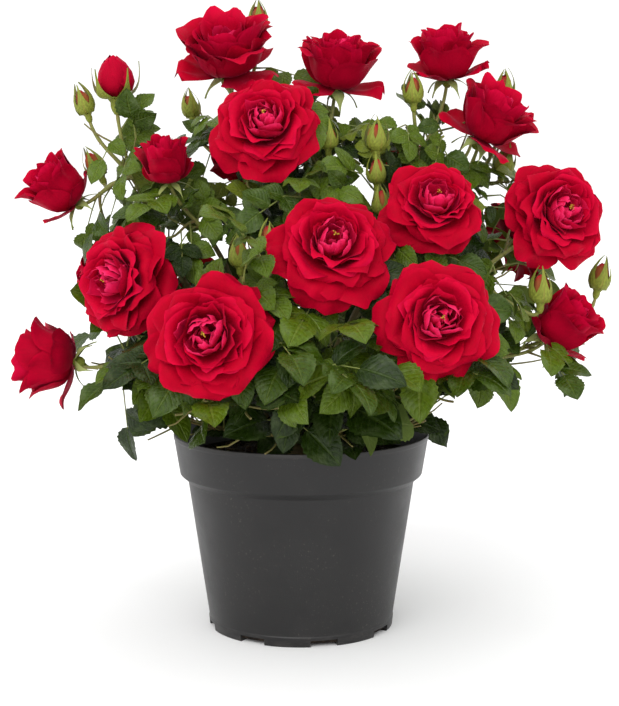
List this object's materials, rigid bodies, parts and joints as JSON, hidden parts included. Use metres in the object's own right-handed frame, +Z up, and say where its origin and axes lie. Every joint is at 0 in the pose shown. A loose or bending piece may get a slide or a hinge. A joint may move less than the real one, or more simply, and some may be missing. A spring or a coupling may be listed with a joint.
{
  "type": "potted patio rose bush",
  "caption": "Bushy patio rose in full bloom, with crimson double flowers, buds and glossy dark leaves, standing in a plain charcoal nursery pot.",
  "frame": {"origin": "on the ground under the middle of the pot, at the flat underside", "axes": "+Z up, the front of the plant towards -Y, +X to the right seen from the front"},
  "size_m": [0.3964, 0.3449, 0.4176],
  "materials": {
    "pot": "satin charcoal moulded plastic, a little lighter along worn edges",
    "compost": "nearly black, damp, fibrous peat compost",
    "bark": "olive green to brown rose bark with fine ridges and prickles",
    "foliage": "glossy dark green leaves with paler veins, young ones yellow green",
    "petals": "velvety crimson petals, deeper in the folds, pinker at the heart",
    "twigs": "smooth green flower stalks and sepals, reddish where the sun reaches"
  },
  "bodies": {
    "root": {"pot": "pot", "compost": "compost", "stem": "bark", "cane_back": "bark", "cane_back_left": "bark", "cane_front_mid": "bark", "cane_front_right": "bark", "cane_front_top": "bark", "cane_left_mid": "bark", "cane_left_top": "bark", "cane_right": "bark", "cane_right_top": "bark", "cane_top_left": "bark", "cane_top_right": "bark", "bough_back_high": "bark", "bough_back_right": "bark", "bough_back_top": "bark", "bough_front_left": "bark", "bough_left_back": "bark", "bough_right_low": "bark", "bough_top_mid": "bark", "bough_upper_left": "bark", "bough_upper_right": "bark", "mass_back": "foliage", "mass_back_high": "foliage", "mass_back_left": "foliage", "mass_back_right": "foliage", "mass_back_top": "foliage", "mass_front_left": "foliage", "mass_front_mid": "foliage", "mass_front_right": "foliage", "mass_front_top": "foliage", "mass_left_back": "foliage", "mass_left_mid": "foliage", "mass_left_top": "foliage", "mass_right": "foliage", "mass_right_low": "foliage", "mass_right_top": "foliage", "mass_skirt_back": "foliage", "mass_skirt_front": "foliage", "mass_skirt_left": "foliage", "mass_skirt_right": "foliage", "mass_top_left": "foliage", "mass_top_mid": "foliage", "mass_top_right": "foliage", "mass_upper_left": "foliage", "mass_upper_right": "foliage"}
  },
  "joints": []
}
